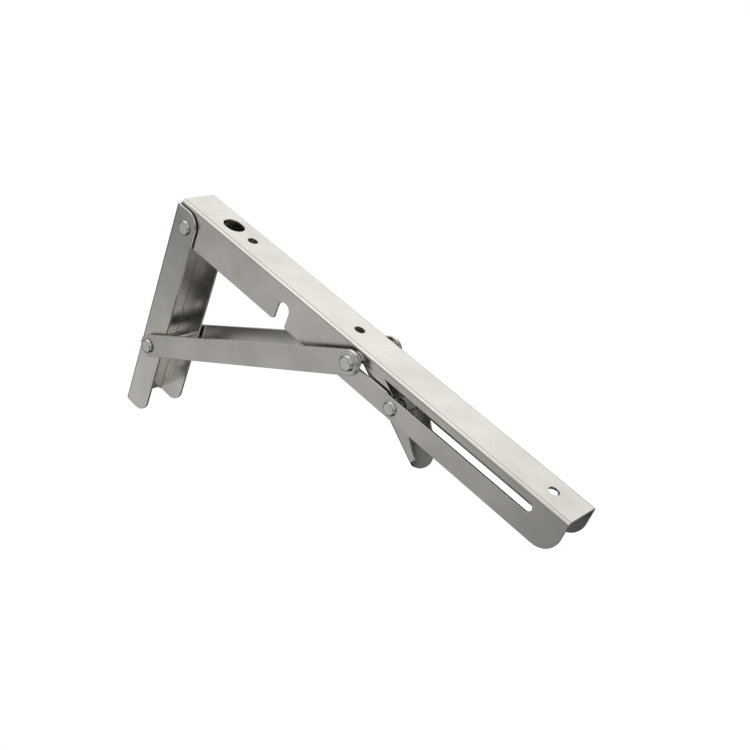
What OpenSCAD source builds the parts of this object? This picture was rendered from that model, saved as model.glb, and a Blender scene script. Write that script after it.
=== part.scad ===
// Folding shelf bracket: a channel-shaped shelf arm that swings down flat
// against its wall plate. Millimetres; the wall is the plane x = 0, the arm
// reaches along +X and its shelf face looks up (+Z). The heights below count
// from the shelf face; the finished pieces stand with the top pivot at z = 0.

/* [Sheet] */
// thickness of the sheet of the plate, the arm and the lever
sheet = 1.5; // [1:0.1:3]
// outer radius of the folds
fold_r = 2.2; // [1.8:0.1:4]
// gap left between parts that move past each other
clear = 0.3; // [0.2:0.05:0.6]
// radial gap of a pin in a hole
run_fit = 0.05; // [0.02:0.01:0.1]

/* [Shelf arm] */
// reach of the arm's tip from the wall
arm_reach = 300; // [200:5:500]
// outside width of the arm
arm_w = 25; // [20:0.5:40]
// outside height of the arm
arm_h = 23.8; // [20:0.1:40]
// radius of the flanges' lower corners at the tip
tip_r = 12; // [4:0.5:20]

/* [Wall plate] */
// height of the wall plate's top edge
plate_top = -3; // [-10:0.1:0]
// height of the lower ends of its flanges
plate_bottom = -152.5; // [-220:0.5:-100]
// how much shorter its back is than its flanges
back_trim = 1.5; // [0:0.5:6]
// depth of the flanges from the wall
plate_d = 20; // [16:0.5:40]
// radius of the flanges' free corners
ear_r = 9.5; // [4:0.5:12]
// free width between a plate flange and the arm beside it
side_gap = 0.8; // [0.6:0.05:2]

/* [Pivots] */
// distance of the top pivot from the wall
top_x = 11.8; // [8:0.1:20]
// height of the top pivot
top_z = -13.8; // [-20:0.1:-8]
// distance of the lower pivot from the wall
low_x = 11; // [8:0.1:20]
// height of the lower pivot
low_z = -101.2; // [-140:0.1:-60]
// diameter of the top and lower pins
pin_d = 6; // [4:0.5:8]
// diameter of the tube on the lower pin that the arm hooks on
tube_d = 8; // [7:0.1:10]

/* [Slot and hook] */
// width of the slots in the arm's flanges
slot_w = 6; // [5:0.1:8]
// height of the slots' centre line
slot_z = -8.5; // [-12:0.1:-6]
// distance of the slot pin from the wall with the arm up
slot_in = 156; // [100:0.5:200]
// distance of the slots' outer end centres from the wall
slot_out = 277.5; // [200:0.5:290]
// radius of the hook notch's round end
hook_r = 4.5; // [4.2:0.1:6]
// radius of the hook's tooth, on the notch's wall side
hook_tooth_r = 2.3; // [0.5:0.1:3]
// radius of the notch's other corner at the flange's edge
hook_lip_r = 1.1; // [0.5:0.1:3]

/* [Holes] */
// diameter of the shelf screw holes
shelf_hole_d = 6; // [3:0.1:8]
// distances of the shelf screw holes from the wall
shelf_hole_x = [52.5, 143.5, 281.7];
// distance of the driver hole's centre from the wall
driver_x = 35.3; // [25:0.1:60]
// width of the driver hole
driver_w = 11.6; // [8:0.1:16]
// length of the driver hole
driver_l = 13.6; // [8:0.1:20]
// diameter of the wall screw holes
wall_hole_d = 5.6; // [3:0.1:8]
// distance between the wall screw holes
wall_hole_step = 48; // [30:1:60]

/* [Strut] */
// width of the strut's bars
bar_w = 14.4; // [10:0.1:24]
// thickness of the bars
bar_t = 2; // [1.5:0.1:4]
// distance of the bars' inner faces from the middle
bar_y = 16.3; // [15.5:0.1:20]

/* [Rivets] */
// diameter of the rivet heads
head_d = 9.4; // [7:0.1:12]
// height of the rivet heads
head_h = 1.6; // [1:0.1:3]
// radius of the heads' rounded shoulder
head_round = 1.35; // [0.5:0.05:2]
// diameter of the latch rivet's heads
latch_head_d = 8.6; // [6:0.1:12]
// height of the latch rivet's heads
latch_head_h = 1.5; // [1:0.1:3]
// height of the heads of the strut's upper rivets
cap_head_h = 1.8; // [1:0.1:3]
// diameter of the washers between the plate and the arm
top_washer_d = 11; // [8:0.1:16]
// diameter of the washers under the bars' lower ends
low_washer_d = 11.5; // [8:0.1:16]
// diameter of the collars on the slot pin; they pass over the latch rivet's heads
collar_d = 9.4; // [8:0.1:10]
// diameter of the washers under the strut's upper heads
cap_washer_d = 12.6; // [9:0.1:16]
// thickness of those washers
cap_washer_t = 0.8; // [0.5:0.1:1.5]
// diameter of the strut's upper rivets and of the slot pin's ends
strut_pin_d = 5.9; // [4:0.02:8]

/* [Latch] */
// distance of the latch pivot from the wall
latch_x = 187; // [170:0.5:220]
// height of the latch pivot
latch_z = -17.9; // [-22:0.1:-14]
// diameter of the latch pin
latch_pin_d = 5; // [4:0.1:6]
// outside width of the lever
lever_w = 20; // [12:0.1:24]
// slope of the lever's tongue
lever_slope = 30.4; // [20:0.1:45]
// distance of the pivot from the outer face of the lever's web
lever_drop = 7.2; // [6:0.1:10]
// length of the tongue beyond the pivot
tongue_l = 35.3; // [20:0.1:50]
// radius of the tongue's round end
tongue_r = 12.5; // [10:0.1:30]
// height of the ears' upper edge over the pivot, towards the nose
ear_top = 3.4; // [2:0.1:5]
// radius of the lobes round the pivot
lobe_r = 5.6; // [4.5:0.1:8]
// how far the ears stop short of the tongue's end
ear_short = 5.7; // [3:0.1:12]
// height of the ears where they stop
ear_end_h = 5; // [2:0.1:8]
// distance from the tongue's end to where the ears begin to rise
ear_rise = 12; // [8:0.1:20]
// height of the ears there
ear_rise_h = 6.3; // [3:0.1:10]
// distance from the pivot to the neck of the lobes
ear_neck = 12; // [8:0.1:20]
// height of the ears at that neck
ear_neck_h = 10.2; // [6:0.1:12]
// diameter of the washers beside the lever
latch_washer_d = 9; // [7:0.1:12]
// wire diameter of the latch spring
wire_d = 1; // [0.6:0.1:1.6]
// mean radius of the spring's coil
coil_r = 3.6; // [3.2:0.1:5]
// number of coils
coil_n = 6; // [3:1:8]
// length of the spring's leg along the tongue
leg_l = 16; // [8:0.5:24]
// angle by which that leg leans in towards the tongue
leg_lean = 6; // [0:1:20]
// where the spring is anchored in the far flange, from the latch pivot
anchor_dx = 17; // [14:0.5:20]
// height of that anchor above the latch pivot
anchor_dz = 2.7; // [1:0.1:3]

/* [Hidden] */
$fn = 48;
eps = 0.01;
half_w = arm_w / 2;
plate_half = half_w + side_gap + sheet;
arm_back = sheet + clear;
shelf_hole_r = shelf_hole_d / 2;
slot_pin_d = slot_w - 2 * run_fit;
// the coil is a stack of rings that merge a little, its legs a touch thinner
coil_pitch = 0.86 * wire_d;
leg_d = 0.92 * wire_d;
// the hook lies where the lower tube comes to rest in the folded arm
hook_x = top_x + top_z - low_z;
hook_z = top_z + low_x - top_x;
strut_dx = slot_in - low_x;
strut_dz = slot_z - low_z;
strut_len = sqrt(strut_dx * strut_dx + strut_dz * strut_dz);
strut_rise = atan2(strut_dz, strut_dx);
first_wall_hole = top_z - (driver_x - top_x);
bar_out = bar_y + bar_t;
pin_end = bar_y - clear;
// the lever's nose stays under this height, just below the slot pin's path
nose_z = slot_z - slot_w / 2 - clear - 2 * run_fit;

steel = [0.74, 0.73, 0.70];
bright = [0.82, 0.81, 0.79];
wire = [0.55, 0.55, 0.54];

// A cylinder along Y from y0 to y1.
module along_y(d, y0, y1) {
    translate([0, y1, 0])
        rotate([90, 0, 0])
            cylinder(d = d, h = y1 - y0);
}

// Puts its child on the far side and on the near side.
module both_sides() {
    children();
    mirror([0, 1, 0])
        children();
}

// The outline of a side wall, drawn in x and z, made into a block w wide.
module side_block(w) {
    translate([0, w / 2, 0])
        rotate([90, 0, 0])
            linear_extrude(height = w)
                children();
}

// A rounded bar outline between two points on one height.
module slot_2d(x0, x1, z, w) {
    translate([x0, z - w / 2])
        square([x1 - x0, w]);
    translate([x0, z])
        circle(d = w);
    translate([x1, z])
        circle(d = w);
}

// A block with two corners rounded: the section of a fold's outside or inside.
module fold_2d(half, height, r) {
    translate([-half, -height])
        square([2 * half, height - r]);
    translate([-half + r, -r - eps])
        square([2 * (half - r), r + eps]);
    for (s = [-1, 1])
        translate([s * (half - r), -r])
            circle(r = r);
}

// The section of a channel: its back at the top, open below.
module channel_2d(half, height) {
    difference() {
        fold_2d(half, height, fold_r);
        translate([0, -sheet])
            fold_2d(half - sheet, height, fold_r - sheet);
    }
}

// A head with a flat crown and a round shoulder; it rises from z = 0 along +Z.
module rivet_head(d, h) {
    flat = d / 2 - head_round;
    rotate_extrude() {
        square([flat, h]);
        square([d / 2, h - head_round]);
        translate([flat, h - head_round])
            intersection() {
                circle(r = head_round);
                square(head_round);
            }
    }
}

// A head whose seat lies at y, pointing outwards on the far side.
module head_far(d, h, y) {
    translate([0, y, 0])
        rotate([-90, 0, 0])
            rivet_head(d, h);
}

// Lifts a piece so that the origin lies on the wall behind the top pivot.
module in_row() {
    translate([0, 0, -top_z])
        children();
}

module top_at() {
    translate([top_x, 0, top_z])
        children();
}

module low_at() {
    translate([low_x, 0, low_z])
        children();
}

module slot_at() {
    translate([slot_in, 0, slot_z])
        children();
}

module latch_at() {
    translate([latch_x, 0, latch_z])
        children();
}

// The plate's side outline: square at the wall, round at the free corners.
module plate_side_2d() {
    translate([-1, plate_bottom])
        square([plate_d - ear_r + 1, plate_top - plate_bottom]);
    translate([0, plate_bottom + ear_r])
        square([plate_d, plate_top - plate_bottom - 2 * ear_r]);
    for (z = [plate_bottom + ear_r, plate_top - ear_r])
        translate([plate_d - ear_r, z])
            circle(r = ear_r);
}

module wall_plate() {
    in_row() color(steel)
        difference() {
            intersection() {
                translate([0, 0, plate_bottom])
                    rotate([0, 0, 90])
                        linear_extrude(height = plate_top - plate_bottom)
                            channel_2d(plate_half, plate_d + 5);
                side_block(2 * plate_half + 4)
                    plate_side_2d();
            }
            translate([-1, -plate_half + fold_r, plate_bottom - 1])
                cube([sheet + 1 + eps, 2 * (plate_half - fold_r), back_trim + 1]);
            top_at()
                along_y(pin_d + 2 * run_fit, -plate_half - 1, plate_half + 1);
            low_at()
                along_y(pin_d + 2 * run_fit, -plate_half - 1, plate_half + 1);
            for (i = [0:2])
                translate([-1, 0, first_wall_hole - i * wall_hole_step])
                    rotate([0, 90, 0])
                        cylinder(d = wall_hole_d, h = sheet + 2);
        }
}

// The arm's side outline: round about the top pivot and at the tip.
module arm_side_2d() {
    foot = arm_h + top_z;
    translate([top_x, top_z])
        circle(r = foot);
    translate([arm_back, top_z])
        square([arm_reach - arm_back, 1 - top_z]);
    translate([top_x, -arm_h])
        square([arm_reach - tip_r - top_x, arm_h]);
    translate([arm_reach - tip_r, -arm_h + tip_r])
        circle(r = tip_r);
    translate([arm_reach - tip_r, -arm_h + tip_r])
        square([tip_r, arm_h - tip_r]);
}

// What rounds one corner of the notch: a square less a circle, for a side s.
module hook_ease_2d(s, r) {
    edge_x = hook_x + s * hook_r;
    difference() {
        translate([min(edge_x, edge_x + s * r), -arm_h - 1])
            square([r, r + 1]);
        translate([edge_x + s * r, -arm_h + r])
            circle(r = r);
    }
}

// The hook notch: a round end, straight sides, and a tooth on the wall side.
module hook_2d() {
    translate([hook_x, hook_z])
        circle(r = hook_r);
    translate([hook_x - hook_r, -arm_h - 1])
        square([2 * hook_r, hook_z + arm_h + 1]);
    hook_ease_2d(-1, hook_tooth_r);
    hook_ease_2d(1, hook_lip_r);
}

module shelf_arm() {
    in_row() color(steel)
        difference() {
            intersection() {
                translate([arm_back, 0, 0])
                    rotate([90, 0, 90])
                        linear_extrude(height = arm_reach - arm_back)
                            channel_2d(half_w, arm_h + 5);
                side_block(arm_w + 4)
                    arm_side_2d();
            }
            side_block(arm_w + 4)
                slot_2d(slot_in - clear, slot_out, slot_z, slot_w);
            side_block(arm_w + 4)
                hook_2d();
            top_at()
                along_y(pin_d + 2 * run_fit, -half_w - 1, half_w + 1);
            latch_at()
                along_y(latch_pin_d + 2 * run_fit, -half_w - 1, half_w + 1);
            translate([0, 0, -sheet - 1])
                linear_extrude(height = sheet + 2)
                    slot_2d(driver_x - (driver_l - driver_w) / 2,
                        driver_x + (driver_l - driver_w) / 2, 0, driver_w);
            for (x = shelf_hole_x)
                translate([x, 0, -sheet - 1])
                    cylinder(r = shelf_hole_r, h = sheet + 2);
            // the anchor hole of the latch spring, in the far flange
            translate([latch_x + anchor_dx, 0, latch_z + anchor_dz])
                along_y(wire_d + clear, half_w - sheet - 1, half_w + 1);
        }
}

// A through pin with a head on each side, its shank end_y long each way.
module headed_pin(d, end_y, hd, hh) {
    along_y(d, -end_y, end_y);
    both_sides()
        head_far(hd, hh, end_y);
}

module top_pin() {
    in_row() color(bright)
        top_at()
            headed_pin(pin_d, plate_half, head_d, head_h);
}

// A washer round Y: bore, outside, and where its faces lie.
module washer(bore, outer, y0, y1) {
    difference() {
        along_y(outer, y0, y1);
        along_y(bore, y0 - 1, y1 + 1);
    }
}

module top_washer_near() {
    in_row() color(steel)
        top_at()
            mirror([0, 1, 0])
                washer(pin_d + 2 * run_fit, top_washer_d, half_w + clear, half_w + side_gap);
}

module top_washer_far() {
    in_row() color(steel)
        top_at()
            washer(pin_d + 2 * run_fit, top_washer_d, half_w + clear, half_w + side_gap);
}

module lower_pin() {
    in_row() color(bright)
        low_at()
            headed_pin(pin_d, bar_out + clear, head_d, head_h);
}

module lower_tube() {
    in_row() color(steel)
        low_at()
            washer(pin_d + 2 * run_fit, tube_d, -plate_half + sheet, plate_half - sheet);
}

module lower_washer_near() {
    in_row() color(steel)
        low_at()
            mirror([0, 1, 0])
                washer(pin_d + 2 * run_fit, low_washer_d, plate_half, bar_y - clear);
}

module lower_washer_far() {
    in_row() color(steel)
        low_at()
            washer(pin_d + 2 * run_fit, low_washer_d, plate_half, bar_y - clear);
}

// One flat bar with round ends and a hole at each end.
module strut_bar() {
    in_row() color(steel)
        translate([low_x, bar_y, low_z])
            rotate([0, -strut_rise, 0])
                difference() {
                    translate([0, bar_t, 0])
                        rotate([90, 0, 0])
                            linear_extrude(height = bar_t)
                                slot_2d(0, strut_len, 0, bar_w);
                    along_y(pin_d + 2 * run_fit, -1, bar_t + 1);
                    translate([strut_len, 0, 0])
                        along_y(strut_pin_d + 2 * run_fit, -1, bar_t + 1);
                }
}

module strut_bar_near() {
    mirror([0, 1, 0])
        strut_bar();
}

module strut_bar_far() {
    strut_bar();
}

// The short rivet that closes the strut's upper joint on one side.
module strut_rivet() {
    in_row() color(bright)
        slot_at() {
            along_y(strut_pin_d, bar_y, bar_out + cap_washer_t);
            head_far(head_d, cap_head_h, bar_out + cap_washer_t);
        }
}

module strut_rivet_near() {
    mirror([0, 1, 0])
        strut_rivet();
}

module strut_rivet_far() {
    strut_rivet();
}

module strut_washer_near() {
    in_row() color(steel)
        slot_at()
            mirror([0, 1, 0])
                washer(strut_pin_d + 2 * run_fit, cap_washer_d, bar_out, bar_out + cap_washer_t);
}

module strut_washer_far() {
    in_row() color(steel)
        slot_at()
            washer(strut_pin_d + 2 * run_fit, cap_washer_d, bar_out, bar_out + cap_washer_t);
}

module slot_pin() {
    in_row() color(bright)
        slot_at()
            along_y(slot_pin_d, -pin_end, pin_end);
}

module slot_collar_near() {
    in_row() color(steel)
        slot_at()
            mirror([0, 1, 0])
                washer(slot_pin_d + 2 * run_fit, collar_d, half_w + clear, pin_end);
}

module slot_collar_far() {
    in_row() color(steel)
        slot_at()
            washer(slot_pin_d + 2 * run_fit, collar_d, half_w + clear, pin_end);
}

// The lever is drawn with its pivot at the origin and its web level below it,
// the nose towards -X, then turned down by the tongue's slope.
nose_top = nose_z - latch_z;
nose_low = lever_drop - fold_r - clear;
nose_u = -(nose_low + nose_top / cos(lever_slope)) / tan(lever_slope);

// The lever's plan: straight sides and the tongue's round end.
module lever_plan_2d() {
    translate([nose_u, -lever_w / 2])
        square([tongue_l - tongue_r - nose_u, lever_w]);
    intersection() {
        translate([0, -lever_w / 2])
            square([tongue_l, lever_w]);
        translate([tongue_l - tongue_r, 0])
            circle(r = tongue_r);
    }
}

// The web and the ears from the side; above the nose they are cut off level,
// so that the slot pin passes over them.
module lever_side_2d() {
    difference() {
        union() {
            translate([nose_u, -lever_drop])
                square([tongue_l - nose_u, sheet]);
            circle(r = lobe_r);
            polygon([
                [nose_u, -lever_drop + sheet / 2],
                [tongue_l - ear_short, -lever_drop + sheet / 2],
                [tongue_l - ear_short, -lever_drop + ear_end_h],
                [tongue_l - ear_rise, -lever_drop + ear_rise_h],
                [ear_neck, -lever_drop + ear_neck_h],
                [0, 0.9 * lobe_r],
                [0, ear_top],
                [nose_u, ear_top]
            ]);
        }
        rotate(lever_slope)
            translate([2 * nose_u, nose_top])
                square([-2 * nose_u, 2 * lever_drop]);
    }
}

// A long block along X whose lower edges are rounded as a fold is.
module fold_block(half, low_z, r) {
    translate([nose_u - 1, 0, low_z])
        rotate([90, 0, 90])
            linear_extrude(height = tongue_l - nose_u + 2)
                mirror([0, 1])
                    fold_2d(half, 6 * lever_drop, r);
}

// Folded sheet: the web lies under the pivot between two ears.
module latch_lever() {
    in_row() color(steel)
        latch_at()
            rotate([0, lever_slope, 0])
                difference() {
                    intersection() {
                        side_block(lever_w)
                            lever_side_2d();
                        translate([0, 0, -3 * lever_drop])
                            linear_extrude(height = 6 * lever_drop)
                                lever_plan_2d();
                        fold_block(lever_w / 2, -lever_drop, fold_r);
                    }
                    fold_block(lever_w / 2 - sheet, -lever_drop + sheet, fold_r - sheet);
                    along_y(latch_pin_d + 2 * run_fit, -lever_w, lever_w);
                }
}

module latch_pin() {
    in_row() color(bright)
        latch_at()
            headed_pin(latch_pin_d, half_w, latch_head_d, latch_head_h);
}

module latch_washer_near() {
    in_row() color(steel)
        latch_at()
            mirror([0, 1, 0])
                washer(latch_pin_d + 2 * run_fit, latch_washer_d, lever_w / 2 + clear, half_w - sheet);
}

module latch_washer_far() {
    in_row() color(steel)
        latch_at()
            washer(latch_pin_d + 2 * run_fit, latch_washer_d, lever_w / 2 + clear, half_w - sheet);
}

// A straight piece of round wire between two points, a touch thinner than
// the coil it grows out of.
module wire_leg(a, b) {
    d = b - a;
    len = norm(d);
    translate(a)
        rotate([0, acos(d[2] / len), atan2(d[1], d[0])])
            cylinder(d = leg_d, h = len);
}

// The spring turns round the latch pin; one leg bears on the tongue, the
// other is hooked into the far flange.
module latch_spring() {
    first_y = -(coil_n - 1) / 2 * coil_pitch;
    last_y = -first_y;
    reach = norm([anchor_dx, anchor_dz]);
    lift = atan2(anchor_dz, anchor_dx) + acos(coil_r / reach);
    low = -90 - lever_slope - leg_lean;
    foot = [coil_r * cos(low), first_y, coil_r * sin(low)];
    hook = [anchor_dx, last_y, anchor_dz];
    in_row() color(wire)
        latch_at() {
            for (i = [0:coil_n - 1])
                translate([0, first_y + i * coil_pitch, 0])
                    rotate([90, 0, 0])
                        rotate_extrude()
                            translate([coil_r, 0])
                                circle(d = wire_d);
            wire_leg(foot, foot + leg_l * [cos(low + 90), 0, sin(low + 90)]);
            wire_leg([coil_r * cos(lift), last_y, coil_r * sin(lift)], hook);
            translate(hook)
                sphere(d = wire_d);
            wire_leg(hook, [anchor_dx, half_w - clear, anchor_dz]);
        }
}

wall_plate();
shelf_arm();
top_pin();
top_washer_near();
top_washer_far();
lower_pin();
lower_tube();
lower_washer_near();
lower_washer_far();
strut_bar_near();
strut_bar_far();
strut_rivet_near();
strut_rivet_far();
strut_washer_near();
strut_washer_far();
slot_pin();
slot_collar_near();
slot_collar_far();
latch_lever();
latch_pin();
latch_washer_near();
latch_washer_far();
latch_spring();
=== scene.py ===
# Folding shelf bracket in satin stainless steel: its looks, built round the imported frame.
# Lengths below are millimetres in the frame's own axes: X out from the wall, Z up, the near side at -Y.
import math
import bpy
import numpy as np
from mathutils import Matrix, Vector
from mathutils.geometry import delaunay_2d_cdt


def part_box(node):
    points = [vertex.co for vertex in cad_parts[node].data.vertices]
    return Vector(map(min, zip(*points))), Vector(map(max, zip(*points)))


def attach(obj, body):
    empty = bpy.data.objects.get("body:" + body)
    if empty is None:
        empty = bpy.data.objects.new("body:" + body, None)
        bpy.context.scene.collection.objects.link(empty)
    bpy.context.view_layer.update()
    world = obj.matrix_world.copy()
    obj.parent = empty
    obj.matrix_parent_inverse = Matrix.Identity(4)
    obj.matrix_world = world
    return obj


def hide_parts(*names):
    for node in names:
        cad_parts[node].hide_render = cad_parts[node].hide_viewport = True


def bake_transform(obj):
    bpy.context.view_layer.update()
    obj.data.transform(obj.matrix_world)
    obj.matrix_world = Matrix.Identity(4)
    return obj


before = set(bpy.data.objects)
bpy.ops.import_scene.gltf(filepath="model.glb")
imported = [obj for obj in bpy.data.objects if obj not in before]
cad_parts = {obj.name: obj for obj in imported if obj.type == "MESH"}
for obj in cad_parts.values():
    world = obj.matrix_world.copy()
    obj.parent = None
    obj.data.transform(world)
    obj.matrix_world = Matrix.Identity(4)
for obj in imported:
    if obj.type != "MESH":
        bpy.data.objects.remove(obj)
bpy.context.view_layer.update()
mm = 0.001


def nodeBox(name):
    # a node's low and high corner
    low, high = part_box(name)
    return np.array(low) / mm, np.array(high) / mm


def nodeCentre(name):
    low, high = nodeBox(name)
    return (low + high) / 2


armLow, armHigh = nodeBox("shelf_arm")
plateLow, plateHigh = nodeBox("wall_plate")
topPivot = nodeCentre("top_pin")
lowPivot = nodeCentre("lower_pin")
slotPivot = nodeCentre("slot_pin")
latchPivot = nodeCentre("latch_pin")
shelfFace = armHigh[2]


# Camera
# the photograph's viewpoint, worked out from the bracket's corners in a 750 x 750 picture
cameraSettings = {
    "place": (419.771, -426.914, 311.953),
    "turn": (55.3025, -18.2414, 44.5807),
    "lens": 52.3104,
    "shift": (0.0308626, -0.0006155),
}
cameraData = bpy.data.cameras.new("photoCamera")
cameraData.lens = cameraSettings["lens"]
cameraData.sensor_width = 36.0
cameraData.shift_x, cameraData.shift_y = cameraSettings["shift"]
cameraData.clip_start = 0.01
cameraData.clip_end = 50.0
cameraObject = bpy.data.objects.new("photoCamera", cameraData)
cameraObject.location = [v * mm for v in cameraSettings["place"]]
cameraObject.rotation_euler = [math.radians(v) for v in cameraSettings["turn"]]
bpy.context.scene.collection.objects.link(cameraObject)
bpy.context.scene.camera = cameraObject
bpy.context.scene.view_settings.view_transform = "Standard"


# Shader helpers
def addNode(tree, kind, settings=None, **inputs):
    # one node; an input is another node's socket, or a value for the node's own socket
    node = tree.nodes.new(kind)
    for name, value in (settings or {}).items():
        setattr(node, name, value)
    for name, value in inputs.items():
        socket = node.inputs[int(name[1:])] if name[0] == "_" else node.inputs[name.replace("_", " ")]
        if isinstance(value, bpy.types.NodeSocket):
            tree.links.new(value, socket)
        else:
            socket.default_value = value
    return node


def newGroup(name, takes, gives):
    # an empty node group with named sockets
    group = bpy.data.node_groups.new(name, "ShaderNodeTree")
    for label, kind in takes:
        group.interface.new_socket(name=label, in_out="INPUT", socket_type=kind)
    for label, kind in gives:
        group.interface.new_socket(name=label, in_out="OUTPUT", socket_type=kind)
    return group, group.nodes.new("NodeGroupInput"), group.nodes.new("NodeGroupOutput")


vectorSocket = "NodeSocketVector"
colourSocket = "NodeSocketColor"
numberSocket = "NodeSocketFloat"


# where the clouds begin and are full, how much the strokes add, and the sum that is smooth and rough
grainSettings = {"cloudFrom": 0.3, "cloudTo": 0.7, "strokeShare": 0.45, "smoothAt": 0.1, "roughAt": 1.3}


def makeSatinGrain(settings):
    # satin finish: slow clouds that tint and dull the sheet, and fine short strokes along it
    group, given, result = newGroup(
        "satinGrain",
        [("Coordinates", vectorSocket), ("Stretch", vectorSocket), ("Cloud Scale", numberSocket),
         ("Grain Scale", numberSocket), ("Pale", colourSocket), ("Deep", colourSocket),
         ("Smooth", numberSocket), ("Rough", numberSocket)],
        [("Colour", colourSocket), ("Roughness", numberSocket), ("Height", numberSocket)],
    )
    cloud = addNode(group, "ShaderNodeTexNoise", Vector=given.outputs["Coordinates"],
                    Scale=given.outputs["Cloud Scale"], Detail=4.0, Roughness=0.55)
    spread = addNode(group, "ShaderNodeMapRange", {"clamp": True}, Value=cloud.outputs[0],
                     From_Min=settings["cloudFrom"], From_Max=settings["cloudTo"])
    tint = addNode(group, "ShaderNodeMix", {"data_type": "RGBA"}, _0=spread.outputs[0],
                   _6=given.outputs["Pale"], _7=given.outputs["Deep"])
    drawn = addNode(group, "ShaderNodeVectorMath", {"operation": "MULTIPLY"},
                    _0=given.outputs["Coordinates"], _1=given.outputs["Stretch"])
    grain = addNode(group, "ShaderNodeTexNoise", Vector=drawn.outputs[0],
                    Scale=given.outputs["Grain Scale"], Detail=3.0, Roughness=0.6)
    both = addNode(group, "ShaderNodeMath", {"operation": "MULTIPLY_ADD"}, _0=grain.outputs[0],
                   _1=settings["strokeShare"], _2=spread.outputs[0])
    dull = addNode(group, "ShaderNodeMapRange", {"clamp": True}, Value=both.outputs[0],
                   From_Min=settings["smoothAt"], From_Max=settings["roughAt"],
                   To_Min=given.outputs["Smooth"], To_Max=given.outputs["Rough"])
    group.links.new(tint.outputs[2], result.inputs["Colour"])
    group.links.new(dull.outputs[0], result.inputs["Roughness"])
    group.links.new(grain.outputs[0], result.inputs["Height"])
    return group


def makeEdgeFinishInnerShade():
    # sheared edges are duller than the faces beside them, and a sheet's inner face may take a darker
    # colour: painted shade inside the channel
    group, given, result = newGroup(
        "edgeFinish",
        [("Colour", colourSocket), ("Roughness", numberSocket), ("Edge", numberSocket),
         ("Edge Colour", colourSocket), ("Edge Roughness", numberSocket), ("Inner", numberSocket),
         ("Inner Colour", colourSocket)],
        [("Colour", colourSocket), ("Roughness", numberSocket)],
    )
    innerShaded = addNode(group, "ShaderNodeMix", {"data_type": "RGBA"}, _0=given.outputs["Inner"],
                   _6=given.outputs["Colour"], _7=given.outputs["Inner Colour"])
    tint = addNode(group, "ShaderNodeMix", {"data_type": "RGBA"}, _0=given.outputs["Edge"],
                   _6=innerShaded.outputs[2], _7=given.outputs["Edge Colour"])
    dull = addNode(group, "ShaderNodeMix", {"data_type": "FLOAT"}, _0=given.outputs["Edge"],
                   _2=given.outputs["Roughness"], _3=given.outputs["Edge Roughness"])
    group.links.new(tint.outputs[2], result.inputs["Colour"])
    group.links.new(dull.outputs[0], result.inputs["Roughness"])
    return group


satinGrain = makeSatinGrain(grainSettings)
edgeFinish = makeEdgeFinishInnerShade()


def steelMaterial(name, look):
    # Object coordinates, turned so that the strokes follow the piece, feed the grain and edge groups;
    # every length in a look is in millimetres
    material = bpy.data.materials.new(name)
    material.use_nodes = True
    tree = material.node_tree
    tree.nodes.clear()
    place = addNode(tree, "ShaderNodeTexCoord")
    turned = addNode(tree, "ShaderNodeMapping", Vector=place.outputs["Object"],
                     Rotation=(0.0, math.radians(look["turn"]), 0.0))
    grain = addNode(tree, "ShaderNodeGroup", {"node_tree": satinGrain}, Coordinates=turned.outputs[0],
                    Stretch=look["stretch"], Cloud_Scale=look["cloudScale"],
                    Grain_Scale=look["grainScale"], Pale=look["pale"], Deep=look["deep"],
                    Smooth=look["smooth"], Rough=look["rough"])
    # painted shade: the colour may darken slowly up the piece, from none at the foot to the head shade at
    # the head
    height = addNode(tree, "ShaderNodeSeparateXYZ", _0=place.outputs["Object"])
    up = addNode(tree, "ShaderNodeMapRange", {"clamp": True}, Value=height.outputs[2],
                 From_Min=look["footAt"] * mm, From_Max=look["headAt"] * mm)
    shadedColour = addNode(tree, "ShaderNodeMix", {"data_type": "RGBA", "blend_type": "MULTIPLY"},
                   _0=up.outputs[0], _6=grain.outputs["Colour"], _7=look["headTone"])
    edge = addNode(tree, "ShaderNodeAttribute", {"attribute_name": "cutEdge"})
    inner = addNode(tree, "ShaderNodeAttribute", {"attribute_name": "innerFace"})
    finish = addNode(tree, "ShaderNodeGroup", {"node_tree": edgeFinish}, Colour=shadedColour.outputs[2],
                     Roughness=grain.outputs["Roughness"], Edge=edge.outputs["Fac"],
                     Edge_Colour=look["edgeColour"], Edge_Roughness=look["edgeRoughness"],
                     Inner=inner.outputs["Fac"], Inner_Colour=look["innerColour"])
    bump = addNode(tree, "ShaderNodeBump", Height=grain.outputs["Height"], Strength=look["bump"],
                   Distance=look["bumpDepth"] * mm)
    shader = addNode(tree, "ShaderNodeBsdfPrincipled", Base_Color=finish.outputs["Colour"],
                     Roughness=finish.outputs["Roughness"], Metallic=look["metallic"],
                     Normal=bump.outputs[0])
    output = addNode(tree, "ShaderNodeOutputMaterial")
    tree.links.new(shader.outputs[0], output.inputs[0])
    return material


strutRise = math.degrees(math.atan2(slotPivot[2] - lowPivot[2], slotPivot[0] - lowPivot[0]))
sheetLook = {
    "turn": 0.0, "stretch": (1.0, 6.0, 6.0), "cloudScale": 46.0, "grainScale": 420.0, "metallic": 1.0,
    "pale": (0.665, 0.648, 0.622, 1.0), "deep": (0.60, 0.584, 0.56, 1.0), "smooth": 0.23, "rough": 0.30,
    "edgeColour": (0.66, 0.645, 0.62, 1.0), "edgeRoughness": 0.30, "bump": 0.12, "bumpDepth": 0.05,
    # the inner colour is painted shade for the inside of the arm's channel
    "innerColour": (0.25, 0.237, 0.22, 1.0),
    "footAt": -130.0, "headAt": 0.0, "headTone": (1.0, 1.0, 1.0, 1.0),
}
rivetLook = dict(
    sheetLook, stretch=(1.0, 1.0, 1.0), grainScale=900.0, pale=(0.62, 0.61, 0.595, 1.0),
    deep=(0.56, 0.55, 0.535, 1.0), smooth=0.10, rough=0.18, bump=0.04,
)
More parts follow.
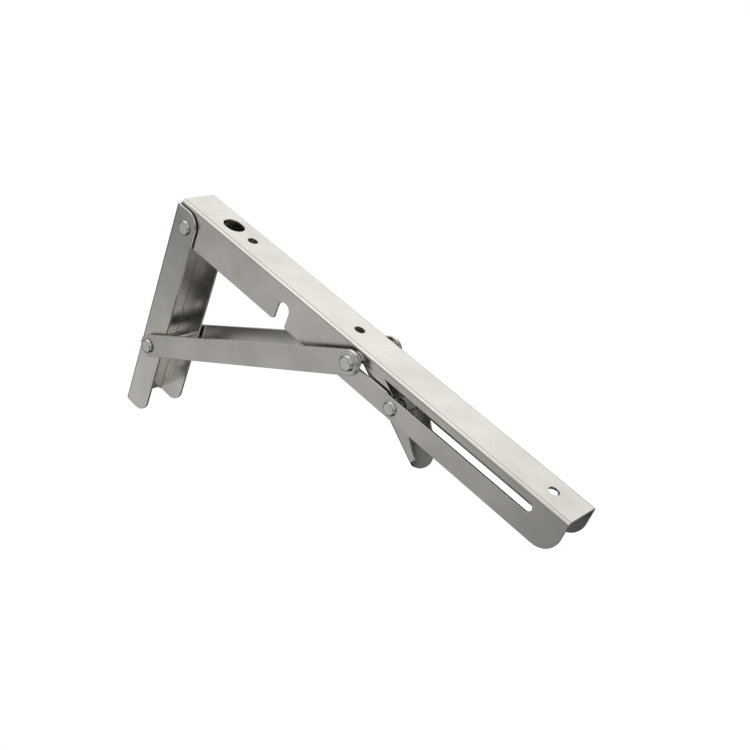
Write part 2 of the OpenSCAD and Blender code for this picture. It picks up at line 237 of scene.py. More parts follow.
springLook = dict(
    rivetLook, pale=(0.92, 0.91, 0.89, 1.0), deep=(0.84, 0.83, 0.81, 1.0), smooth=0.34, rough=0.44,
    metallic=0.4,
)
plateLook = dict(
    sheetLook, turn=90.0, pale=(0.76, 0.742, 0.712, 1.0), deep=(0.68, 0.663, 0.637, 1.0),
    # painted shade: the plate's colour darkens from its foot towards its top
    footAt=-110.0, headAt=-10.0, headTone=(0.62, 0.62, 0.62, 1.0),
)
barLook = dict(
    sheetLook, turn=strutRise, pale=(0.61, 0.595, 0.571, 1.0), deep=(0.55, 0.536, 0.514, 1.0),
)
leverLook = dict(sheetLook, turn=-30.0)
washerLook = dict(sheetLook, stretch=(1.0, 1.0, 1.0), smooth=0.22, rough=0.34)
armSteel = steelMaterial("armSatinSteel", sheetLook)
plateSteel = steelMaterial("plateSatinSteel", plateLook)
barSteel = steelMaterial("barSatinSteel", barLook)
leverSteel = steelMaterial("leverSatinSteel", leverLook)
washerSteel = steelMaterial("washerSteel", washerLook)
rivetSteel = steelMaterial("rivetSteel", rivetLook)
springSteel = steelMaterial("springWire", springLook)
print("materials made:", len(bpy.data.materials))


# Mesh helpers
# tolerances: points that coincide, a point on a fold's line, the filling's own, and next to nothing
sameSpot = 1e-5
onLine = 1e-6
fillLimit = 1e-7
nearNothing = 1e-9


def roundedOutline(corners, closed=True, arcStep=9.0):
    # each corner (x, y, radius) becomes an arc that touches both its sides;
    # given back are the points and, at each, the unit vector to the left of the way walked
    spots = np.array([c[:2] for c in corners], float)
    points, lefts = [], []
    count = len(corners)
    for i in range(count):
        radius = corners[i][2] if len(corners[i]) > 2 else 0.0
        back = spots[i - 1] - spots[i]
        ahead = spots[(i + 1) % count] - spots[i]
        if not closed and i in (0, count - 1):
            way = ahead if i == 0 else -back
            way = way / np.linalg.norm(way)
            points.append(spots[i][None])
            lefts.append(np.array([[-way[1], way[0]]]))
            continue
        back, ahead = back / np.linalg.norm(back), ahead / np.linalg.norm(ahead)
        half = math.acos(max(-1.0, min(1.0, float(back @ ahead)))) / 2
        side = np.sign(-back[0] * ahead[1] + back[1] * ahead[0])
        middle = (back + ahead) / np.linalg.norm(back + ahead)
        centre = spots[i] + middle * radius / math.sin(half)
        start = spots[i] + back * radius / math.tan(half) - centre
        sweep = (math.pi - 2 * half) * side
        steps = max(2, math.ceil(abs(math.degrees(sweep)) / arcStep) + 1)
        angle = np.linspace(0, sweep, steps)
        arc = np.stack([np.cos(angle) * start[0] - np.sin(angle) * start[1],
                        np.sin(angle) * start[0] + np.cos(angle) * start[1]], 1)
        points.append(centre + arc)
        lefts.append(-side * arc / radius)
    points, lefts = np.concatenate(points), np.concatenate(lefts)
    apart = np.linalg.norm(points - np.roll(points, 1, 0), axis=1) > sameSpot
    apart[0] = apart[0] or not closed
    return points[apart], lefts[apart]


def roundHole(x, y, radius, count=48):
    # a circle walked clockwise, so that the sheet lies to its left
    angle = -np.arange(count) * 2 * np.pi / count
    left = np.stack([np.cos(angle), np.sin(angle)], 1)
    return np.array([x, y]) + radius * left, left


def slotHole(x0, x1, y, width):
    # two half circles joined by straight sides, walked clockwise
    r = width / 2
    left, right, low, high = x0 - r, x1 + r, y - r, y + r
    return roundedOutline([(left, low, r), (left, high, r), (right, high, r), (right, low, r)])


def ringFaces(rows, columns, closeRows):
    # quads between neighbouring rows and columns; the columns always run round
    i = np.arange(rows if closeRows else rows - 1)[:, None]
    j = np.arange(columns)[None]
    nextI, nextJ = (i + 1) % rows, (j + 1) % columns
    return np.stack(np.broadcast_arrays(i * columns + j, nextI * columns + j,
                                        nextI * columns + nextJ, i * columns + nextJ), -1).reshape(-1, 4)


def makePiece(name, points, faces, normals, body, material, stands, slotName, masks=None):
    # puts whole arrays into a mesh with its own shading normals, and seats it on its body when the body
    # is named; otherwise it stays where it is, unattached
    mesh = bpy.data.meshes.new(name)
    mesh.from_pydata((points * mm).tolist(), [], faces)
    mesh.polygons.foreach_set("use_smooth", np.ones(len(mesh.polygons), bool))
    for label, values in (masks or {}).items():
        mesh.attributes.new(label, "FLOAT", "POINT").data.foreach_set("value", values.astype(np.float32))
    mesh.normals_split_custom_set_from_vertices(normals.tolist())
    mesh.materials.append(material)
    piece = bpy.data.objects.new(name, mesh)
    bpy.context.scene.collection.objects.link(piece)
    if isinstance(body, str):
        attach(piece, body)
    else:
        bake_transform(piece)
    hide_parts(*stands)
    return piece


# Sheet parts
sheetSettings = {
    "thickness": 1.5, "foldRadius": 2.2, "foldSteps": 8, "edgeRound": 0.22, "edgeSteps": 3,
    "innerSkin": 0.0,
}
# the holes' radii for the two pivots' pins, the latch pin and the strut's upper rivets
pivotBore = 3.05
latchBore = 2.55
upperBore = 3.0


def insideLoop(spots, loop):
    # a spot is inside if a line from it crosses the loop an odd number of times
    a, b = loop, np.roll(loop, -1, 0)
    x, y = spots[:, :1], spots[:, 1:]
    spans = (a[:, 1] > y) != (b[:, 1] > y)
    rise = np.where(b[:, 1] == a[:, 1], 1.0, b[:, 1] - a[:, 1])
    crossing = a[:, 0] + (y - a[:, 1]) / rise * (b[:, 0] - a[:, 0])
    return (spans & (x < crossing)).sum(1) % 2 == 1


def splitAcross(points, lefts, levels):
    # adds a point wherever a side crosses one of the fold's lines; also given back is the way in from
    # each point to the rounded edge's inner side, which keeps an added point on its line
    atEnd = 1e-4
    way = np.roll(points, -1, 0) - points
    rise = np.where(np.abs(way[:, 1:]) < nearNothing, np.inf, way[:, 1:])
    share = (levels[None] - points[:, 1:]) / rise
    side, level = np.nonzero((share > atEnd) & (share < 1 - atEnd))
    f = share[side, level]
    added = points[side] + f[:, None] * way[side]
    left = np.stack([-way[side, 1], way[side, 0]], 1)
    left = left / np.maximum(np.linalg.norm(left, axis=1, keepdims=True), nearNothing)
    inset = np.stack([1 / left[:, 0], np.zeros(len(left))], 1)
    order = np.argsort(np.concatenate([np.arange(len(points)), side + f]), kind="stable")
    return (np.concatenate([points, added])[order], np.concatenate([lefts, left])[order],
            np.concatenate([lefts, inset])[order])


def edgeRows(settings):
    # the sheet's edge from its outer to its inner face: a quarter circle, a straight side, a quarter
    # circle; the columns are how far in it lies, how deep, and its normal outwards and in depth
    r, t = settings["edgeRound"], settings["thickness"]
    q = np.linspace(0, np.pi / 2, settings["edgeSteps"] + 1)
    outer = np.stack([r * (1 - np.sin(q)), r * (1 - np.cos(q)), np.sin(q), -np.cos(q)], 1)
    inner = np.stack([r * (1 - np.cos(q)), t - r + r * np.sin(q), np.cos(q), np.sin(q)], 1)
    return np.concatenate([outer, inner])


def foldSheet(t, w, halfWidth, settings):
    # across the blank, t runs over the back, round a quarter circle on each side and down the flanges;
    # w goes from the outer face inwards. Given back: y, depth, and the fold's angle with its side's sign
    r = settings["foldRadius"]
    flat = halfWidth - r
    side = np.sign(t)
    over = np.maximum(np.abs(t) - flat, 0)
    angle = np.minimum(over / r, np.pi / 2)
    y = side * (np.minimum(np.abs(t), flat) + (r - w) * np.sin(angle))
    depth = r - (r - w) * np.cos(angle) + np.maximum(over - r * np.pi / 2, 0)
    return y, depth, side * angle


def flangeLine(halfWidth, settings, depth):
    # where on the blank a flange's line at that depth lies
    r = settings["foldRadius"]
    return halfWidth - r + r * np.pi / 2 + depth - r


def foldLines(halfWidth, settings):
    # where on the blank the steps of both folds lie
    r = settings["foldRadius"]
    one = halfWidth - r + r * np.linspace(0, np.pi / 2, settings["foldSteps"] + 1)
    return np.concatenate([-one[::-1], one])


def stepLoops(loops, rows):
    # each loop's points stepped over the edge's rows, their normals before the folding and the faces
    # between them; the rims are the numbers, loop by loop, of the points on the outer face
    points, normals, faces, rims, start = [], [], [], [], 0
    for spots, lefts, *inset in loops:
        inset = inset[0] if inset else lefts
        grid = spots[:, None] + inset[:, None] * rows[None, :, :1]
        count, deep = grid.shape[:2]
        depth = np.broadcast_to(rows[None, :, 1:2], (count, deep, 1))
        points.append(np.concatenate([grid, depth], 2).reshape(-1, 3))
        way = np.broadcast_to(rows[None, :, 3:], (count, deep, 1))
        normals.append(np.concatenate([-lefts[:, None] * rows[None, :, 2:3], way], 2).reshape(-1, 3))
        i, j = np.arange(count)[:, None], np.arange(deep - 1)[None]
        a, b = start + i * deep + j, start + (i + 1) % count * deep + j
        faces.append(np.stack(np.broadcast_arrays(a, a + 1, b + 1, b), -1).reshape(-1, 4))
        rims.append(start + np.arange(count) * deep)
        start += count * deep
    return np.concatenate(points), np.concatenate(normals), np.concatenate(faces), rims


def fillLoops(flat, ends, levels):
    # triangles between the loops, with an edge along each fold line; those in a hole or outside the
    # blank are dropped, and the rest all run the same way round
    borders = [(a + k, a + (k + 1) % (b - a)) for a, b in zip(ends[:-1], ends[1:]) for k in range(b - a)]
    for level in levels:
        ring = np.nonzero(np.abs(flat[:ends[1], 1] - level) < onLine)[0]
        ring = ring[np.argsort(flat[ring, 0])]
        borders.append((int(ring[0]), int(ring[-1])))
    made = delaunay_2d_cdt([Vector(p) for p in flat.tolist()], borders, [], 0, fillLimit)
    given = np.array([o[0] for o in made[3]])
    triangles = given[np.array(made[2])]
    middle = flat[triangles].mean(1)
    keep = insideLoop(middle, flat[:ends[1]])
    for a, b in zip(ends[1:-1], ends[2:]):
        keep &= ~insideLoop(middle, flat[a:b])
    triangles = triangles[keep]
    u, v = flat[triangles[:, 1]] - flat[triangles[:, 0]], flat[triangles[:, 2]] - flat[triangles[:, 0]]
    clockwise = u[:, 0] * v[:, 1] - u[:, 1] * v[:, 0] < 0
    triangles[clockwise] = triangles[clockwise][:, ::-1]
    return triangles


def makeSheet(name, loops, axes, origin, settings, halfWidth=None, **seat):
    # a cut blank with rounded edges, folded into a channel if it has a half width, and set in place;
    # the axes are the directions in the frame of its length, its width and its depth
    rows = edgeRows(settings)
    deep = len(rows)
    levels = np.zeros(0)
    if halfWidth is not None:
        levels = foldLines(halfWidth, settings)
        loops = [splitAcross(*loops[0], levels)] + loops[1:]
    points, planar, edgeFaces, rims = stepLoops(loops, rows)
    rim = np.concatenate(rims)
    ends = np.cumsum([0] + [len(r) for r in rims])
    front = rim[fillLoops(points[rim, :2], ends, levels)]
    back = front[:, ::-1] + deep - 1
    s, t, w = points.T
    if halfWidth is None:
        y, depth, turn = t, w, np.zeros(len(t))
    else:
        y, depth, turn = foldSheet(t, w, halfWidth, settings)
    ns, nt, nw = planar.T
    local = np.stack([s, y, depth], 1)
    across = nt * np.cos(turn) - nw * np.sin(turn)
    inwards = nt * np.sin(turn) + nw * np.cos(turn)
    localNormal = np.stack([ns, across, inwards], 1)
    axes = np.array(axes, float)
    placed = local @ axes + np.array(origin, float)
    normals = localNormal @ axes
    shapes = edgeFaces.tolist() + front.tolist() + back.tolist()
    if np.linalg.det(axes) > 0:
        shapes = [f[::-1] for f in shapes]
    # innerFace: how far a point lies towards the inner face, times the inner shade; the mask of the
    # painted shade
    masks = {"cutEdge": np.tile(np.abs(rows[:, 2]), len(points) // deep),
             "innerFace": settings["innerSkin"] * w / settings["thickness"]}
    return makePiece(name, placed, shapes, normals, masks=masks, **seat)


# Shelf arm: length along X, back up
armSettings = dict(
    # the arm's inner faces take the painted shade colour in full
    sheetSettings, footRadius=9.99, tipRadius=12.0, innerSkin=1.0,
    hookAt=99.2, hookRadius=4.5, hookTop=10.1, hookLips=(2.3, 1.1),
    slot=(155.7, 277.5), slotDepth=8.5, slotWidth=6.0,
    shelfHoles=(52.5, 143.5, 281.7), shelfHoleRadius=3.0, driverAt=35.3, driverSize=(13.6, 11.6),
)


def makeArm(settings):
    # the outline runs along one flange's edge with its hook notch, and back along the other
    half, reach, back = armHigh[1], armHigh[0], armLow[0]
    height = shelfFace - armLow[2]
    edge = flangeLine(half, settings, height)
    top = flangeLine(half, settings, settings["hookTop"])
    left = settings["hookAt"] - settings["hookRadius"]
    right = settings["hookAt"] + settings["hookRadius"]
    leftLip, rightLip = settings["hookLips"]
    near = [(back, -edge, settings["footRadius"]), (left, -edge, leftLip),
            (left, -top, settings["hookRadius"]), (right, -top, settings["hookRadius"]),
            (right, -edge, rightLip), (reach, -edge, settings["tipRadius"])]
    far = [(x, -y, r) for x, y, r in near[::-1]]
    loops = [roundedOutline(near + far)]
    for x in settings["shelfHoles"]:
        loops.append(roundHole(x, 0.0, settings["shelfHoleRadius"]))
    length, width = settings["driverSize"]
    loops.append(slotHole(settings["driverAt"] - (length - width) / 2,
                          settings["driverAt"] + (length - width) / 2, 0.0, width))
    for side in (-1, 1):
        line = side * flangeLine(half, settings, settings["slotDepth"])
        loops.append(slotHole(*settings["slot"], line, settings["slotWidth"]))
        line = side * flangeLine(half, settings, shelfFace - topPivot[2])
        loops.append(roundHole(topPivot[0], line, pivotBore))
        line = side * flangeLine(half, settings, shelfFace - latchPivot[2])
        loops.append(roundHole(latchPivot[0], line, latchBore))
    axes = [(1, 0, 0), (0, 1, 0), (0, 0, -1)]
    return makeSheet("armSheet", loops, axes, (0, 0, shelfFace), settings, half,
                     body="arm", material=armSteel, stands=["shelf_arm"], slotName="sheet_steel")


makeArm(armSettings)
print("shelf arm made")


# Wall plate: length up Z, back against the wall
plateSettings = dict(
    sheetSettings, cornerRadius=9.5, backTrim=1.5, trimIn=0.5, trimRadius=0.5,
    screwHoles=(-23.5, -71.5, -119.5), screwRadius=2.8,
)


def makePlate(settings):
    # two flanges with round corners; at the foot the back is trimmed a little shorter
    half, depth = plateHigh[1], plateHigh[0]
    top, bottom = plateHigh[2], plateLow[2]
    edge = flangeLine(half, settings, depth)
    step = half - settings["foldRadius"] - settings["trimIn"]
    trimmed = bottom + settings["backTrim"]
    corner = settings["cornerRadius"]
    small = settings["trimRadius"]
    outline = [(bottom, -edge, corner), (top, -edge, corner), (top, edge, corner), (bottom, edge, corner),
               (bottom, step, small), (trimmed, step, small),
               (trimmed, -step, small), (bottom, -step, small)]
    loops = [roundedOutline(outline)]
    for z in settings["screwHoles"]:
        loops.append(roundHole(z, 0.0, settings["screwRadius"]))
    for side in (-1, 1):
        for pivot in (topPivot, lowPivot):
            line = side * flangeLine(half, settings, pivot[0])
            loops.append(roundHole(pivot[2], line, pivotBore))
    axes = [(0, 0, 1), (0, 1, 0), (1, 0, 0)]
    return makeSheet("plateSheet", loops, axes, (0, 0, 0), settings, half,
                     body="plate", material=plateSteel, stands=["wall_plate"], slotName="sheet_steel")


makePlate(plateSettings)
print("wall plate made")


# Strut bars: flat, with round ends, from the lower pin to the slot pin
barSettings = dict(sheetSettings, thickness=2.0, edgeRound=0.3, width=14.4)


def makeBar(side, name, node, settings):
    # its length and slope come from the two pivots, its outer face from the frame
    rise = slotPivot - lowPivot
    length = math.hypot(rise[0], rise[2])
    along = np.array([rise[0], 0, rise[2]]) / length
    across = np.array([-along[2], 0, along[0]])
    r = settings["width"] / 2
    barLow, barHigh = nodeBox(node)
    outer = max(abs(barLow[1]), abs(barHigh[1])) * side
    loops = [roundedOutline([(-r, -r, r), (length + r, -r, r), (length + r, r, r), (-r, r, r)]),
             roundHole(0.0, 0.0, pivotBore), roundHole(length, 0.0, upperBore)]
    axes = [along, across, (0, -side, 0)]
    return makeSheet(name, loops, axes, (lowPivot[0], outer, lowPivot[2]), settings,
                     body="strut", material=barSteel, stands=[node], slotName="sheet_steel")


makeBar(-1, "barNear", "strut_bar_near", barSettings)
makeBar(1, "barFar", "strut_bar_far", barSettings)
print("strut bars made")


# Turned parts
turnSettings = {"steps": 72, "arcStep": 15.0}


def turnPiece(name, corners, pivot, closed=False, side=1, **seat):
    # a profile of (radius, y, corner radius) turned round Y through the pivot;
    # an open profile starts and ends on the axis, and its ends become single points
    steps = turnSettings["steps"]
    profile, lefts = roundedOutline(corners, closed, turnSettings["arcStep"])
    angle = np.arange(steps) * 2 * np.pi / steps
    ring = np.stack([np.cos(angle), np.zeros(steps), np.sin(angle)], 1)
    upright = np.array([0.0, 1.0, 0.0])
    points = profile[:, None, :1] * ring[None] + profile[:, None, 1:] * upright
    normals = -(lefts[:, None, :1] * ring[None] + lefts[:, None, 1:] * upright)
    rows = len(profile)
    points, normals = points.reshape(-1, 3), normals.reshape(-1, 3)
    faces = ringFaces(rows, steps, closed)
    if closed:
        shapes = faces.tolist()
    else:
        first, last = faces[:steps], faces[-steps:]
        shapes = faces[steps:-steps].tolist()
        shapes += np.stack([np.zeros(steps, int), first[:, 1], first[:, 2]], 1).tolist()
        shapes += np.stack([last[:, 0], np.full(steps, (rows - 1) * steps), last[:, 3]], 1).tolist()
        used = np.ones(rows * steps, bool)
        used[1:steps] = False
        used[(rows - 1) * steps + 1:] = False
        index = np.cumsum(used) - 1
        shapes = [[int(index[v]) for v in f] for f in shapes]
        points, normals = points[used], normals[used]
    if side < 0:
        points, normals = points * (1, -1, 1), normals * (1, -1, 1)
        shapes = [f[::-1] for f in shapes]
    placed = points + np.array([pivot[0], 0, pivot[2]])
    return makePiece(name, placed, shapes, normals, **seat)


headSettings = {"shoulderRound": 1.33, "swell": 0.05, "rimRound": 0.1, "shankRound": 0.12}


def headProfile(radius, height, seat, shank, settings):
    # a barely swelling crown, a round shoulder, a short rim and in to the shank, towards -y
    return [
        (0.0, -seat - height),
        (radius, -seat - height + settings["swell"], settings["shoulderRound"]),
        (radius, -seat, settings["rimRound"]),
        (shank, -seat, settings["shankRound"]),
    ]


def makeHeadedPin(name, node, radius, height, shank, body):
    # a through rivet with a head on each side
    seat = nodeBox(node)[1][1] - height
    near = headProfile(radius, height, seat, shank, headSettings)
    far = [(c[0], -c[1]) + tuple(c[2:]) for c in near[::-1]]
    turnPiece(name, near + far, nodeCentre(node), body=body, material=rivetSteel, stands=[node],
              slotName="rivet_steel")


strutRivetSettings = {"height": 1.8, "shank": 2.95, "endRound": 0.3}


def makeStrutRivet(side, name, node, settings):
    # a short rivet whose head lies outside, drawn for the near side
    low, high = nodeBox(node)
    inner, outer = sorted((abs(low[1]), abs(high[1])))
    radius = (high[0] - low[0]) / 2
    height, shank = settings["height"], settings["shank"]
    corners = headProfile(radius, height, outer - height, shank, headSettings)
    corners += [(shank, -inner, settings["endRound"]), (0.0, -inner)]
    turnPiece(name, corners, (low + high) / 2, side=-side, body="strut", material=rivetSteel,
              stands=[node], slotName="rivet_steel")


slotPinSettings = {"endRound": 0.4}


def makeSlotPin(settings):
    # a plain pin with rounded ends
    low, high = nodeBox("slot_pin")
    radius, edge = (high[0] - low[0]) / 2, settings["endRound"]
    corners = [(0.0, low[1]), (radius, low[1], edge), (radius, high[1], edge), (0.0, high[1])]
    turnPiece("slotPin", corners, slotPivot, body="slider", material=rivetSteel, stands=["slot_pin"],
              slotName="rivet_steel")


# each through pin's piece, head radius, head height, shank radius and body
pinSettings = {
    "top_pin": ("topRivet", 4.7, 1.6, 3.0, "plate"),
    "lower_pin": ("lowerRivet", 4.7, 1.6, 3.0, "plate"),
    "latch_pin": ("latchRivet", 4.3, 1.5, 2.5, "arm"),
}
for node, (name, radius, height, shank, body) in pinSettings.items():
    makeHeadedPin(name, node, radius, height, shank, body)
makeStrutRivet(-1, "strutRivetNear", "strut_rivet_near", strutRivetSettings)
makeStrutRivet(1, "strutRivetFar", "strut_rivet_far", strutRivetSettings)
makeSlotPin(slotPinSettings)
print("rivets and pins made")


def makeRing(name, node, bore, body, edge):
    # a washer or tube: its outside and faces come from the frame, its bore is given
    low, high = nodeBox(node)
    outer = (high[0] - low[0]) / 2
    corners = [(bore, low[1], edge), (outer, low[1], edge), (outer, high[1], edge), (bore, high[1], edge)]
    turnPiece(name, corners, (low + high) / 2, closed=True, body=body, material=washerSteel,
              stands=[node], slotName="sheet_steel")


ringEdge = 0.12
# each pair's pieces, bore radius and body
ringSettings = {
    "top_washer": ("topWasher", pivotBore, "plate"),
    "lower_washer": ("lowerWasher", pivotBore, "plate"),
    "strut_washer": ("strutWasher", upperBore, "strut"),
    "slot_collar": ("slotCollar", upperBore, "slider"),
    "latch_washer": ("latchWasher", latchBore, "arm"),
}
for node, (name, bore, body) in ringSettings.items():
    for end in ("near", "far"):
        makeRing(name + end.capitalize(), node + "_" + end, bore, body, ringEdge)
makeRing("lowerTube", "lower_tube", pivotBore, "plate", ringEdge)
print("washers, collars and tube made")


# Latch spring: a wound helix with one leg on the tongue and one hooked into the far flange
springSettings = {
    "wire": 1.0, "sides": 14,
    "coilRadius": 3.6, "turns": 9, "pitch": 1.03, "coilShift": 1.6, "turnSteps": 48,
    "legLength": 16.0, "legAngle": -126.4,
    "anchor": (17.0, 2.7), "hookRadius": 1.2, "hookEnd": 12.2, "hookSteps": 9,
    # under the pivot, where the lower leg starts to follow the lever and where it wholly does
    "bendFrom": 3.4, "bendTo": 5.5,
}


def makeSpring(settings):
    r = settings["coilRadius"]
    anchor = np.array(settings["anchor"])
    reach = np.linalg.norm(anchor)
    # the coil runs from where the hooked leg leaves it to where the lower leg does
    lift = math.atan2(anchor[1], anchor[0]) + math.acos(r / reach)
    low = math.radians(settings["legAngle"]) + 2 * math.pi
    sweep = low - lift + 2 * math.pi * settings["turns"]
    angle = np.linspace(lift, lift + sweep, settings["turnSteps"] * (settings["turns"] + 1))
    farY = settings["pitch"] * sweep / (4 * math.pi) + settings["coilShift"]
    # coil: a circle in x and z that steps along y by one pitch a turn
    coil = np.stack([r * np.cos(angle), farY - settings["pitch"] * (angle - lift) / (2 * math.pi),
                     r * np.sin(angle)], 1)
    way = np.array([anchor[0] - coil[0, 0], 0, anchor[1] - coil[0, 2]])
    way = way / np.linalg.norm(way)
    curve = settings["hookRadius"]
    q = np.linspace(0, np.pi / 2, settings["hookSteps"])[:, None]
    hookAt = np.array([anchor[0], farY, anchor[1]])
    # hook: a quarter circle from the leg's line into +y
    hook = hookAt - way * curve * (1 - np.sin(q)) + np.array([0, 1, 0]) * curve * (1 - np.cos(q))
    tip = np.array([[anchor[0], settings["hookEnd"], anchor[1]]])
    end = angle[-1]
    leg = np.array([-math.sin(end), 0, math.cos(end)]) * settings["legLength"]
    path = np.concatenate([tip, hook[::-1], coil, coil[-1:] + leg])
    # the bend below is meant for the lower leg to turn with the lever and the rest to stay with the arm;
    # it is not used, so the spring is set in place unattached
    pivot = latchPivot * (1, 0, 1)
    bend = {"between": ("arm", "latch"), "start": pivot - (0, 0, settings["bendFrom"]),
            "end": pivot - (0, 0, settings["bendTo"])}
    makeTube("latchSpring", path + pivot, settings["wire"] / 2, settings["sides"], body=bend,
             material=springSteel, stands=["latch_spring"], slotName="spring_wire")


tubeSettings = {"firstSide": (0.3, 0.2, 0.9), "capAngles": (80.0, 50.0, 20.0)}


def makeTube(name, path, radius, sides, **seat):
    # rings square to the path, carried along it without twist; each end closes over a half ball
    way = np.gradient(path, axis=0)
    way /= np.linalg.norm(way, axis=1, keepdims=True)
    side = np.zeros_like(way)
    side[0] = np.cross(way[0], tubeSettings["firstSide"])
    for i in range(1, len(path)):
        side[i] = side[i - 1] - way[i] * (side[i - 1] @ way[i])
        side[i] /= np.linalg.norm(side[i])
    side[0] /= np.linalg.norm(side[0])
    cap = np.radians(tubeSettings["capAngles"])
    first, last = np.zeros(len(cap), int), np.full(len(cap), len(path) - 1)
    stations = np.concatenate([first, np.arange(len(path)), last])
    out = np.concatenate([-np.sin(cap), np.zeros(len(path)), np.sin(cap[::-1])])
    scale = np.concatenate([np.cos(cap), np.ones(len(path)), np.cos(cap[::-1])])
    angle = np.arange(sides) * 2 * np.pi / sides
    w, u = way[stations], side[stations]
    v = np.cross(w, u)
    circle = u[:, None] * np.cos(angle)[None, :, None] + v[:, None] * np.sin(angle)[None, :, None]
    normals = circle * scale[:, None, None] + w[:, None] * out[:, None, None]
    points = path[stations][:, None] + normals * radius
    rows = len(stations)
    shapes = ringFaces(rows, sides, False)[:, ::-1].tolist()
    shapes += [list(range(sides))[::-1], list(range((rows - 1) * sides, rows * sides))]
    return makePiece(name, points.reshape(-1, 3), shapes, normals.reshape(-1, 3), **seat)


makeSpring(springSettings)
print("latch spring made")


# Latch lever: length along the tongue, back underneath; heights are over the back's outer face
leverSettings = dict(
    sheetSettings, slope=30.4, drop=7.2, width=20.0,
    # the ears' upper edge from the nose to the tongue: distance past the pivot, height, corner radius
    earEdge=[(-28.3, 7.3, 0.8), (-22.6, 10.6, 1.5), (-4.45, 10.6, 0.8), (-2.26, 13.4, 4.7),
             (12.0, 10.2, 3.0), (23.3, 6.3, 4.0), (29.6, 5.0, 1.0)],
    # the tongue's: distance past the pivot, half its width on the blank, corner radius
    tongueEdge=[(30.0, 10.5, 0.6), (35.3, 5.18, 12.5)],
)


def makeLever(settings):
    # a channel as well: its ears stand on each side of the tongue's line
    half = settings["width"] / 2
    slope = math.radians(settings["slope"])
    along = np.array([math.cos(slope), 0, -math.sin(slope)])
    inwards = np.array([math.sin(slope), 0, math.cos(slope)])
    ear = [(u, flangeLine(half, settings, h), r) for u, h, r in settings["earEdge"]]
    oneSide = ear + settings["tongueEdge"]
    loops = [roundedOutline([(u, -t, r) for u, t, r in oneSide] + oneSide[::-1])]
    line = flangeLine(half, settings, settings["drop"])
    loops += [roundHole(0.0, side * line, latchBore) for side in (-1, 1)]
    origin = latchPivot * (1, 0, 1) - settings["drop"] * inwards
    axes = [along, (0, -1, 0), inwards]
    return makeSheet("leverSheet", loops, axes, origin, settings, half, body="latch",
                     material=leverSteel, stands=["latch_lever"], slotName="sheet_steel")


makeLever(leverSettings)
print("latch lever made")


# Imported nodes: hidden behind their pieces, yet finished like them
nodeFinish = {
    "shelf_arm": armSteel, "wall_plate": plateSteel, "latch_lever": leverSteel,
    "strut_bar_near": barSteel, "strut_bar_far": barSteel, "latch_spring": springSteel,
}
for name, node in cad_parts.items():
    turned = name.endswith("pin") or "rivet" in name
    material = nodeFinish.get(name, rivetSteel if turned else washerSteel)
    for slot in node.material_slots:
        slot.material = material
print("packed nodes finished")


# Studio
# the floor's height in millimetres and its size in metres; how much of its own light the camera sees
floorSettings = {
    "height": -420.0, "size": 8.0, "colour": (0.8, 0.8, 0.8, 1.0), "glow": 0.93, "glowStrength": 1.06,
}


def makeFloor(settings):
    # camera rays meet near-white that still takes a soft shadow; the steel doesn't mirror it
    bpy.ops.mesh.primitive_plane_add(size=settings["size"], location=(0, 0, settings["height"] * mm))
    floor = bpy.context.object
    floor.name = "studioFloor"
    floor.visible_glossy = False
    material = bpy.data.materials.new("studioFloor")
    material.use_nodes = True
    tree = material.node_tree
    tree.nodes.clear()
    path = addNode(tree, "ShaderNodeLightPath")
    share = addNode(tree, "ShaderNodeMath", {"operation": "MULTIPLY"}, _0=path.outputs["Is Camera Ray"],
                    _1=settings["glow"])
    matt = addNode(tree, "ShaderNodeBsdfDiffuse", Color=settings["colour"])
    glow = addNode(tree, "ShaderNodeEmission", Color=(1, 1, 1, 1), Strength=settings["glowStrength"])
    mixed = addNode(tree, "ShaderNodeMixShader", _0=share.outputs[0], _1=matt.outputs[0],
                    _2=glow.outputs[0])
    output = addNode(tree, "ShaderNodeOutputMaterial")
    tree.links.new(mixed.outputs[0], output.inputs[0])
    floor.data.materials.append(material)


skySettings = {
    "tint": (1.0, 0.985, 0.965, 1.0),
    # the room's own brightness below and above the horizon
    "roomLow": 0.10, "roomHigh": 0.42, "roomFrom": -0.35, "roomTo": 0.35, "darkest": 0.012,
    # soft panels: the way they lie, how bright they are, and the cosines where they begin and are full
    "panels": {
        "tableGlow": ((-0.50, -0.68, -0.53), 0.35, 0.92, 0.995),
        "tableLeft": ((-0.53, -0.54, -0.65), 0.16, 0.93, 0.995),
        "tableRight": ((-0.25, -0.78, -0.58), 0.10, 0.88, 0.99),
        "wallCard": ((-0.45, 0.71, 0.54), 0.86, 0.85, 0.99),
        "leftCard": ((-0.80, -0.45, 0.35), 0.45, 0.80, 0.96),
        "frontCard": ((-0.50, -0.84, 0.18), 0.26, 0.86, 0.98),
        "topCard": ((-0.48, -0.25, 0.80), 0.50, 0.70, 0.95),
        "keyLight": ((-0.42, -0.52, 0.75), 0.90, 0.965, 0.995),
        "frontRightCard": ((0.35, -0.72, 0.55), 0.70, 0.86, 0.97),
        "rightCard": ((0.66, -0.66, -0.38), 1.30, 0.950, 0.990),
        "floorCard": ((-0.10, 0.20, -0.97), 0.45, 0.90, 0.98),
        "darkCard": ((0.88, 0.05, -0.40), -0.30, 0.80, 0.95),
        "farDarkCard": ((0.47, 0.72, 0.52), -0.20, 0.80, 0.94),
        "backCard": ((-0.72, 0.60, -0.28), 0.40, 0.75, 0.97),
        "farSideCard": ((0.62, 0.76, -0.16), 0.30, 0.86, 0.98),
    },
}


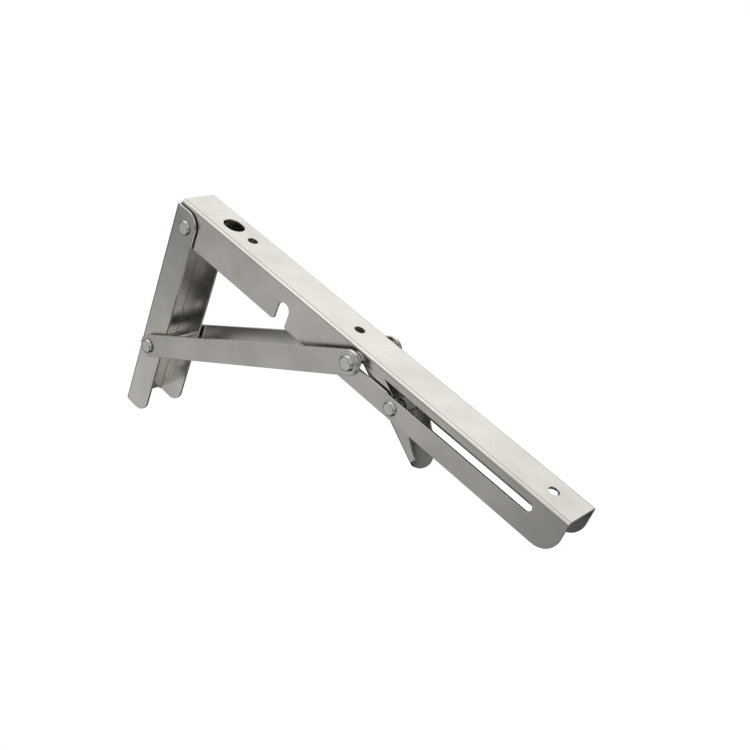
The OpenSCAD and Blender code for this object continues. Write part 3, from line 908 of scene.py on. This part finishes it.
def makeSky(settings):
    # white to the camera; to the steel a room that is darker below, with soft bright panels
    world = bpy.data.worlds.new("studioSky")
    bpy.context.scene.world = world
    world.use_nodes = True
    tree = world.node_tree
    tree.nodes.clear()
    path = addNode(tree, "ShaderNodeLightPath")
    place = addNode(tree, "ShaderNodeTexCoord")
    parts = addNode(tree, "ShaderNodeSeparateXYZ", _0=place.outputs["Generated"])
    room = addNode(tree, "ShaderNodeMapRange", {"interpolation_type": "SMOOTHSTEP"},
                   Value=parts.outputs[2], From_Min=settings["roomFrom"], From_Max=settings["roomTo"],
                   To_Min=settings["roomLow"], To_Max=settings["roomHigh"])
    total = room.outputs[0]
    for way, gain, begins, full in settings["panels"].values():
        way = np.array(way) / np.linalg.norm(way)
        facing = addNode(tree, "ShaderNodeVectorMath", {"operation": "DOT_PRODUCT"},
                         _0=place.outputs["Generated"], _1=tuple(way))
        panel = addNode(tree, "ShaderNodeMapRange", {"interpolation_type": "SMOOTHSTEP"},
                        Value=facing.outputs[1], From_Min=begins, From_Max=full, To_Min=0.0, To_Max=gain)
        added = addNode(tree, "ShaderNodeMath", {"operation": "ADD"}, _0=total, _1=panel.outputs[0])
        total = added.outputs[0]
    held = addNode(tree, "ShaderNodeMath", {"operation": "MAXIMUM"}, _0=total, _1=settings["darkest"])
    sky = addNode(tree, "ShaderNodeBackground", Color=settings["tint"], Strength=held.outputs[0])
    white = addNode(tree, "ShaderNodeBackground", Color=(1, 1, 1, 1), Strength=1.0)
    mixed = addNode(tree, "ShaderNodeMixShader", _0=path.outputs["Is Camera Ray"], _1=sky.outputs[0],
                    _2=white.outputs[0])
    output = addNode(tree, "ShaderNodeOutputWorld")
    tree.links.new(mixed.outputs[0], output.inputs[0])


# in metres and watts
lampSettings = {"place": (-0.25, -0.15, 1.3), "aim": (0.15, 0.0, -0.02), "size": (0.5, 0.5), "power": 0.3}


def makeLamp(settings):
    # a weak lamp overhead that faces the middle of the bracket, for the floor's soft shadow
    data = bpy.data.lights.new("overhead", "AREA")
    data.shape = "RECTANGLE"
    data.size, data.size_y = settings["size"]
    data.energy = settings["power"]
    lamp = bpy.data.objects.new("overhead", data)
    lamp.location = settings["place"]
    way = Vector(settings["aim"]) - Vector(settings["place"])
    lamp.rotation_euler = way.to_track_quat("-Z", "Y").to_euler()
    bpy.context.scene.collection.objects.link(lamp)


makeFloor(floorSettings)
makeSky(skySettings)
makeLamp(lampSettings)
print("studio made")
